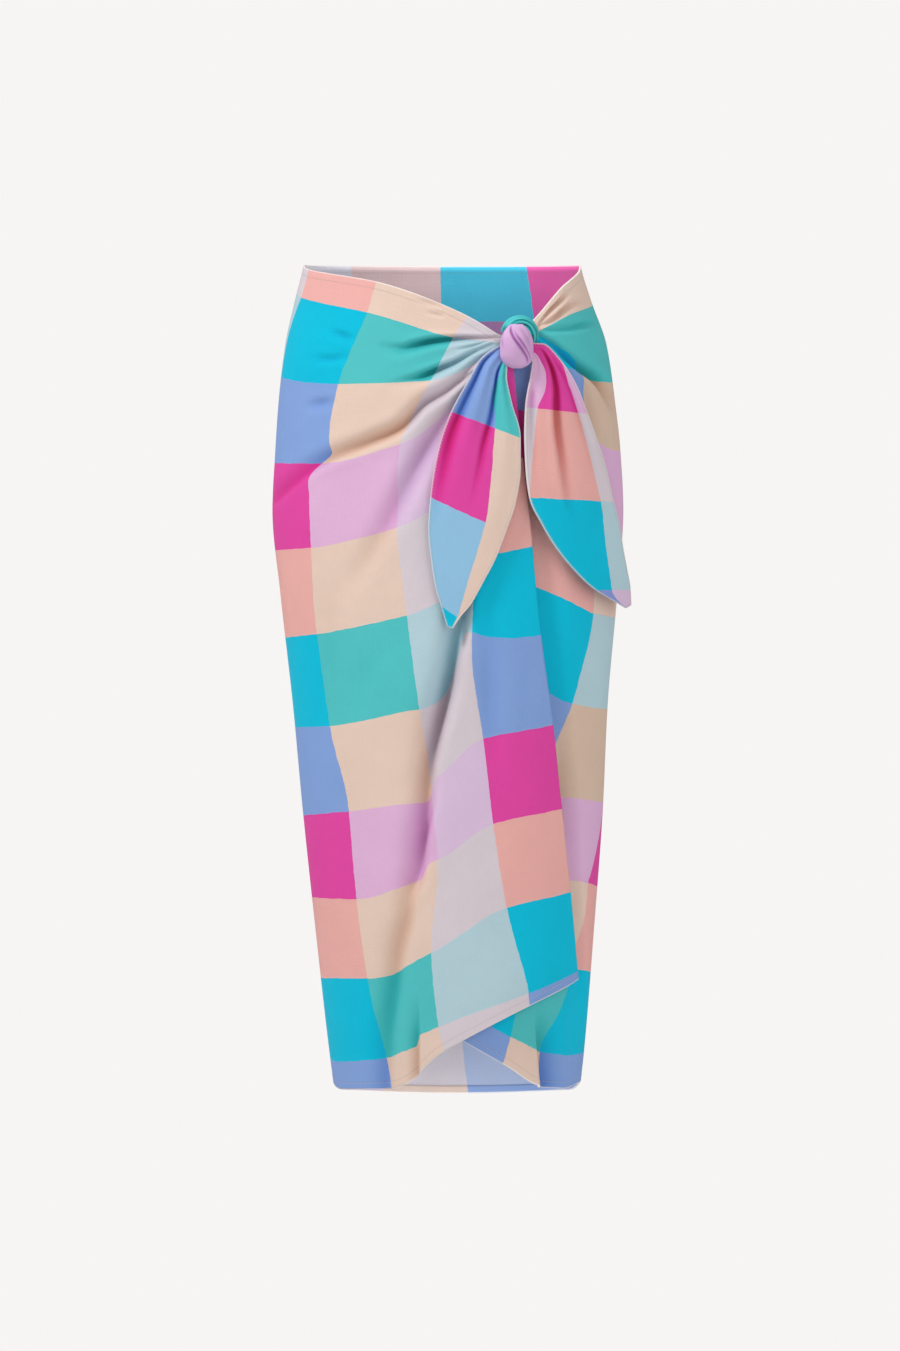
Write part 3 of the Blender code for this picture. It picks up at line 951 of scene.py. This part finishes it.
# %% Sizes of the corners
TAIL_LEFT = (
    # edge x z, other edge x z, lift, chart row, share of the width at the check line
    (68, -79, 73, -93, 5.4, 0.05, 0.6),
    (55, -85, 67, -101, 6.6, 0.28, 0.6),
    (40, -96, 66, -115, 8, 0.48, 0.72),
    (27, -118, 71, -141, 9.5, 0.7, 0.59),
    (10, -149, 80, -176, 10, 1, 0.63),
    (-1, -178, 80, -209, 10, 1.35, 0.65),
    (-8, -209, 75, -243, 10, 1.68, 0.68),
    (-12, -238, 65, -273, 10, 2, 0.73),
    (-14, -270, 55, -299, 9.5, 2.3, 0.73),
    (-11, -303, 42, -324, 9.5, 2.6, 0.73),
    (-6, -332, 29, -347, 9, 2.88, 0.76),
    (-2, -345, 19, -359, 8.7, 3, 0.88),
    (5, -369, 11, -371, 8.5, 3.25, 0.9),
)
TAIL_RIGHT = (
    # edge x z, other edge x z, lift, chart row, share of the width at the two check lines
    (86, -91, 89, -80, 5.8, 0.1, 0.4, 1.1),
    (92, -100, 103, -81, 7.3, 0.3, 0.4, 1.05),
    (90, -115, 122, -99, 8.2, 0.52, 0.46, 0.97),
    (87, -131, 138, -125, 9, 0.78, 0.35, 0.84),
    (85, -145, 148, -151, 10, 1, 0.2, 0.84),
    (84, -173, 158, -178, 10.5, 1.34, 0.14, 0.836),
    (85, -204, 167, -206, 11.5, 1.67, 0.08, 0.83),
    (89, -238, 175, -242, 12.5, 2, 0, 0.843),
    (101, -264, 181, -266, 13.5, 2.3, -0.2, 0.795),
    (117, -290, 185, -291, 14.5, 2.58, -0.4, 0.74),
    (136, -313, 189, -312, 15.5, 2.82, -0.8, 0.65),
    (153, -329, 192, -329, 17, 3, -1.2, 0.5),
    (188, -350, 193, -347, 18.5, 3.25, -2, 0.05),
)
TAIL_LEFT_FOLDS = (
    # share of the width at the top and at the fifth width, first and last width, depth or rise, spread
    # to the left and right
    (0.13, 0.1, 0.4, 8.5, 4.4, 0.05, 0.08),
    (0.4, 0.3, 0.4, 8, -2.6, 0.1, 0.1),
    (0.72, 0.5, 0.6, 7.4, 4.6, 0.03, 0.07),
    (0.8, 0.66, 0, 3.2, 2.4, 0.04, 0.04),
    (0.8, 0.8, 0.6, 9, -1.8, 0.1, 0.12),
    (0.9, 0.9, 1, 4.5, 2, 0.05, 0.04),
)
TAIL_RIGHT_FOLDS = (
    (0.1, 0.1, 2, 8, 2.6, 0.06, 0.08),
    (0.34, 0.27, 0.4, 6, -1.6, 0.09, 0.09),
    (0.62, 0.4, 0.6, 9, -2.4, 0.09, 0.05),
    (0.72, 0.44, 0.4, 8.4, 5.6, 0.03, 0.09),
    (0.3, 0.24, 0, 3, 3, 0.05, 0.05),
    (0.84, 0.84, 1, 8, 1.6, 0.06, 0.06),
)
print("widths of a corner:", len(TAIL_LEFT), "and", len(TAIL_RIGHT))

# %% Hanging corners
LOW_PLACE = 5
GROWS_IN, FADES_IN = 1.4, 4.5
FULL_WIDTH = 40
STEEPEST = 46
GATHERED = 1.25


def tail_grid(rows, pleats):
    """A corner's grid, lift and shade, its share and width across, and the rest of its table."""
    down = np.linspace(0, len(rows) - 1, 150)
    across = np.linspace(0, 1, 80)[None, :]
    found = smooth_run(np.arange(len(rows)), np.array(rows, float), down)
    edge_x, edge_z, other_x, other_z, lift, row, *lines = found.T[..., None]
    x = edge_x + (other_x - edge_x) * across
    z = edge_z + (other_z - edge_z) * across
    width = np.hypot(other_x - edge_x, other_z - edge_z)
    lift = lift + 0 * across
    shade = 0 * lift
    for top, low, start, end, deep, spread_left, spread_right in pleats:
        off = across - (top + (low - top) * step_up(down / LOW_PLACE))[:, None]
        off = off / np.where(off < 0, spread_left, spread_right)
        held = step_up((down - start) / GROWS_IN) * step_up((end - down) / FADES_IN)
        pleat = deep * held[:, None] * np.exp(-(off**2)) * step_up(width / FULL_WIDTH)
        lift = lift - pleat
        steep = np.clip(deep / (spread_left + spread_right) / STEEPEST, 0, 1)
        shade = np.maximum(shade, steep * np.clip(pleat / deep, 0, 1) ** 1.6)
    lift = lift + 0.6 * unevenness(x, z, 4)
    return x, z, lift, shade, across, width, row, lines


def corner_cloth(name, x, z, lift, shade, columns_at, row):
    tail_uv = np.stack([columns_at, np.broadcast_to(row, columns_at.shape)], axis=-1)
    edges = ("left", "right", "bottom")
    hemmed_cloth(name, angle_at(x, z, lift), z, lift, tail_uv, edges, hem=CORNER_HEM, shade=shade)


x, z, lift, shade, across, width, row, lines = tail_grid(TAIL_LEFT, TAIL_LEFT_FOLDS)
corner_cloth("tail_left", x, z, lift, shade, 1 + (across - lines[0]) * width / CHECK * GATHERED, row)

x, z, lift, shade, across, width, row, lines = tail_grid(TAIL_RIGHT, TAIL_RIGHT_FOLDS)
first, second = lines
before_line = 1 + (across - first) * width / CHECK
between = 1 + (across - first) / (second - first)
after_line = 2 + (across - second) * width / CHECK
columns_at = np.where(across < first, before_line, np.where(across < second, between, after_line))
corner_cloth("tail_right", x, z, lift, shade, columns_at, row)

# %% [markdown]
# ## The knot
# The knot shows two turns: a lilac one wrapped over the front from top to bottom, and a green one that
# arches over the top. Both are bunched, so pleats run along each turn. They are built as cupped shells, wide
# in the middle and pinched where they dive in.

# %% Sizes of the knot
KNOT_WRAP = (
    # height, half width, lift of the rim, rise of the crest
    (-61.5, 6, 12.6, 2.6),
    (-65, 10, 12.6, 6.5),
    (-70, 13.5, 12.4, 9.5),
    (-77, 16.3, 11.4, 13),
    (-85, 17, 9.4, 14.5),
    (-93, 17, 8, 13.5),
    (-99, 15, 7.4, 11),
    (-103.5, 11, 7.4, 7.6),
    (-106.5, 5, 7.4, 2.8),
)
WRAP_CREASES = (
    # place across at the top and at the bottom, depth, spread, from how low, to how high
    (-0.5, 0.72, 2.6, 0.06, 0.02, 1.1),
    (-0.3, 0.92, 2, 0.05, 0.02, 0.9),
    (-0.98, -0.34, 2, 0.08, 0.4, 1),
    (0.2, 0.98, 0.7, 0.1, 0.25, 1),
)
BAND_X, BAND_Z = 79, -72.0
BAND_RADIUS, BAND_HALF = 12.6, 7.0
BAND_RISE, BAND_RIM = 9.8, 3.4
BAND_START, BAND_END = 172, -32.0
BAND_PLEATS = (
    # place across, depth, how far it slants
    (-0.55, 1.5, 0.10),
    (-0.15, 1.8, 0.16),
    (0.25, 1.6, 0.20),
    (0.62, 1.2, 0.10),
)
KNOT_CLOTH = 1.2
print("creases of the wrap:", len(WRAP_CREASES), "and of the band:", len(BAND_PLEATS))

# %% Knot turns
def half_round(count):
    """Shares from side to side of a turn, and the angle that cups it."""
    share = np.linspace(-1, 1, count)[None, :]
    return share, share * math.pi / 2


def wrap_face(thinner):
    table = np.array(KNOT_WRAP, float)[::-1]
    low_z, high_z = table[0, 0], table[-1, 0]
    middle_z = (low_z + high_z) / 2
    found = smooth_run(np.arange(len(table)), table, np.linspace(0, len(table) - 1, 70))
    height, half, rim, crest = found.T[..., None]
    share, turn = half_round(80)
    reach = abs(low_z - middle_z)
    z = middle_z + (height - middle_z) * (reach - thinner) / reach
    high = (z - low_z) / (high_z - low_z)
    pleats = 0 * share * high
    for above, below, deep, spread, low, top in WRAP_CREASES:
        bend = below + (above - below) * high
        shown = step_up((high - low) / 0.2) * step_up((top - high) / 0.25)
        pleats = pleats + deep * shown * np.exp(-(((share - bend) / spread) ** 2))
    pleats = pleats * step_up(crest / 9) * np.cos(turn)
    x = KNOT_X + (half - thinner) * np.sin(turn)
    lift = rim + (crest - thinner) * np.cos(turn) - pleats
    z = z + 0 * x
    cloth = np.stack([0.4 + 0.3 * share + 0 * x, 0.5 - z / CHECK], axis=-1)
    return place(angle_at(x, z, lift), z, lift), cloth, np.clip(pleats / 2.4, 0, 1)


def band_face(thinner):
    start, end = math.radians(BAND_START), math.radians(BAND_END)
    along = np.linspace(start, end, 90)[:, None]
    share, turn = half_round(60)
    reach = BAND_RADIUS + (BAND_HALF - thinner) * np.sin(turn)
    x = BAND_X + reach * np.cos(along)
    z = BAND_Z + reach * np.sin(along)
    pleats = 0 * share * along
    for where, deep, slant in BAND_PLEATS:
        bend = where + slant * (1.2 - along)
        pleats = pleats + deep * np.exp(-(((share - bend) / 0.09) ** 2))
    pleats = pleats * np.cos(turn) * (0.35 + 0.65 * step_up((2.3 - along) / 1.2))
    dive = step_up(1 - (start - along) / 0.5) + step_up(1 - (along - end) / 0.6)
    lift = BAND_RIM + (BAND_RISE - thinner) * np.cos(turn) * (1 - 0.55 * dive) - pleats - 3.0 * dive
    cloth = np.stack([0.4 + 0.1 * share + 0 * x, 0.3 + along / 4 + 0 * x], axis=-1)
    return place(angle_at(x, z, lift), z, lift), cloth, np.clip(pleats / 1.4, 0, 1)


for name, turn_face in (("knot_wrap", wrap_face), ("knot_band", band_face)):
    outer, turn_uv, shade = turn_face(0)
    no_hem = np.full(outer.shape[:2], NO_HEM)
    cloth_piece(name, outer, turn_face(KNOT_CLOTH)[0], turn_uv, no_hem, shade=shade)

# %% [markdown]
# ## Hem stitches
# A narrow hem is turned twice and run with short straight stitches. Geometry Nodes lay one small round
# stitch at each even step of the line that runs inside the edge, turned along it. The result is made a plain
# mesh, because a finished piece carries no live modifier.

# %% Stitch tree
STITCH = {"Step": 3.4, "Length": 2.0, "Thickness": 0.26}
STITCH_SIDES = 6


def build_stitch_tree(thread):
    tree = bpy.data.node_groups.new("hem stitches", "GeometryNodeTree")
    face = tree.interface
    face.new_socket("Line", in_out="INPUT", socket_type="NodeSocketGeometry")
    for label, value in STITCH.items():
        socket = face.new_socket(label, in_out="INPUT", socket_type="NodeSocketFloat")
        socket.default_value = value * MM
    face.new_socket("Stitches", in_out="OUTPUT", socket_type="NodeSocketGeometry")
    into = add(tree, "NodeGroupInput").outputs
    curve = add(tree, "GeometryNodeMeshToCurve", {0: into["Line"]}).outputs[0]
    even = {"Curve": curve, "Length": into["Step"]}
    points = add(tree, "GeometryNodeResampleCurve", even, mode="LENGTH").outputs[0]
    radius = math_node(tree, "MULTIPLY", into["Thickness"], 0.5)
    form = {"Vertices": STITCH_SIDES, "Radius": radius, "Depth": into["Length"]}
    stitch = add(tree, "GeometryNodeMeshCylinder", form).outputs["Mesh"]
    along = {"Vector": add(tree, "GeometryNodeInputTangent").outputs[0]}
    turn = add(tree, "FunctionNodeAlignRotationToVector", along, axis="Z").outputs[0]
    laid = {"Points": points, "Instance": stitch, "Rotation": turn}
    row = add(tree, "GeometryNodeInstanceOnPoints", laid).outputs[0]
    real = add(tree, "GeometryNodeRealizeInstances", {0: row}).outputs[0]
    paint = add(tree, "GeometryNodeSetMaterial", {"Geometry": real, "Material": thread})
    add(tree, "NodeGroupOutput", {0: paint.outputs[0]})
    return tree


def thread_material():
    material, tree, shader = new_material("hem thread")
    coords = add(tree, "ShaderNodeTexCoord").outputs["Object"]
    fibres = noise_node(tree, coords, 900.0).outputs["Fac"]
    colour = mix_colour(tree, fibres, linear(214, 204, 200), linear(238, 230, 226))
    tree.links.new(colour, shader.inputs["Base Color"])
    shader.inputs["Roughness"].default_value = 0.8
    return material


stitch_tree = build_stitch_tree(thread_material())
print("stitch tree:", len(stitch_tree.nodes), "nodes")

# %% Lay the stitches
LINE_INSIDE = 0.9
STITCH_PROUD = 0.06


def hem_line(name, side):
    """Points on the right side of a piece, nearly a hem's width in from one edge, corners left free."""
    outer, hem = pieces[name]["outer"], pieces[name]["hem"]
    if side in ("left", "right"):
        outer = np.swapaxes(outer, 0, 1)
    if side in ("bottom", "right"):
        outer = outer[::-1]
    gaps = np.linalg.norm(np.diff(outer, axis=0), axis=-1)
    run = np.pad(np.cumsum(gaps, axis=0), [(1, 0), (0, 0)])
    places = range(outer.shape[1])
    points = [[np.interp(hem - LINE_INSIDE, run[:, j], outer[:, j, k]) for k in range(3)] for j in places]
    points = np.array(points)
    reach = np.pad(np.cumsum(np.linalg.norm(np.diff(points, axis=0), axis=1)), (1, 0))
    return points[(reach > hem) & (reach < reach[-1] - hem)]


def lay_stitches(name, sides):
    lines, edges = [], []
    count = 0
    for side in sides:
        points = hem_line(name, side)
        out = points * [1, 1, 0]
        out[:, 0] -= section(points[:, 2])[0]
        out /= np.linalg.norm(out, axis=1, keepdims=True)
        lines.append(points + STITCH_PROUD * out)
        edges += [(count + i, count + i + 1) for i in range(len(points) - 1)]
        count += len(points)
    mesh = bpy.data.meshes.new("line")
    mesh.from_pydata([tuple(p) for p in np.concatenate(lines) * MM], edges, [])
    carrier = in_scene("stitch line", mesh)
    modifier = carrier.modifiers.new("stitches", "NODES")
    modifier.node_group = stitch_tree
    for item in stitch_tree.interface.items_tree:
        if item.in_out == "INPUT" and item.name in STITCH:
            modifier[item.identifier] = STITCH[item.name] * MM
    graph = bpy.context.evaluated_depsgraph_get()
    made = bpy.data.meshes.new_from_object(carrier.evaluated_get(graph), depsgraph=graph)
    bpy.data.objects.remove(carrier, do_unlink=True)
    made.name = "stitches_" + name
    piece = in_scene("stitches_" + name, made)
    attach(piece, "root")
    print("stitches on", name, len(made.polygons) // (STITCH_SIDES + 2))


for name in ("over_front", "under_front", "back"):
    lay_stitches(name, ("top", "bottom"))
for name in ("tail_left", "tail_right"):
    lay_stitches(name, ("left", "right"))
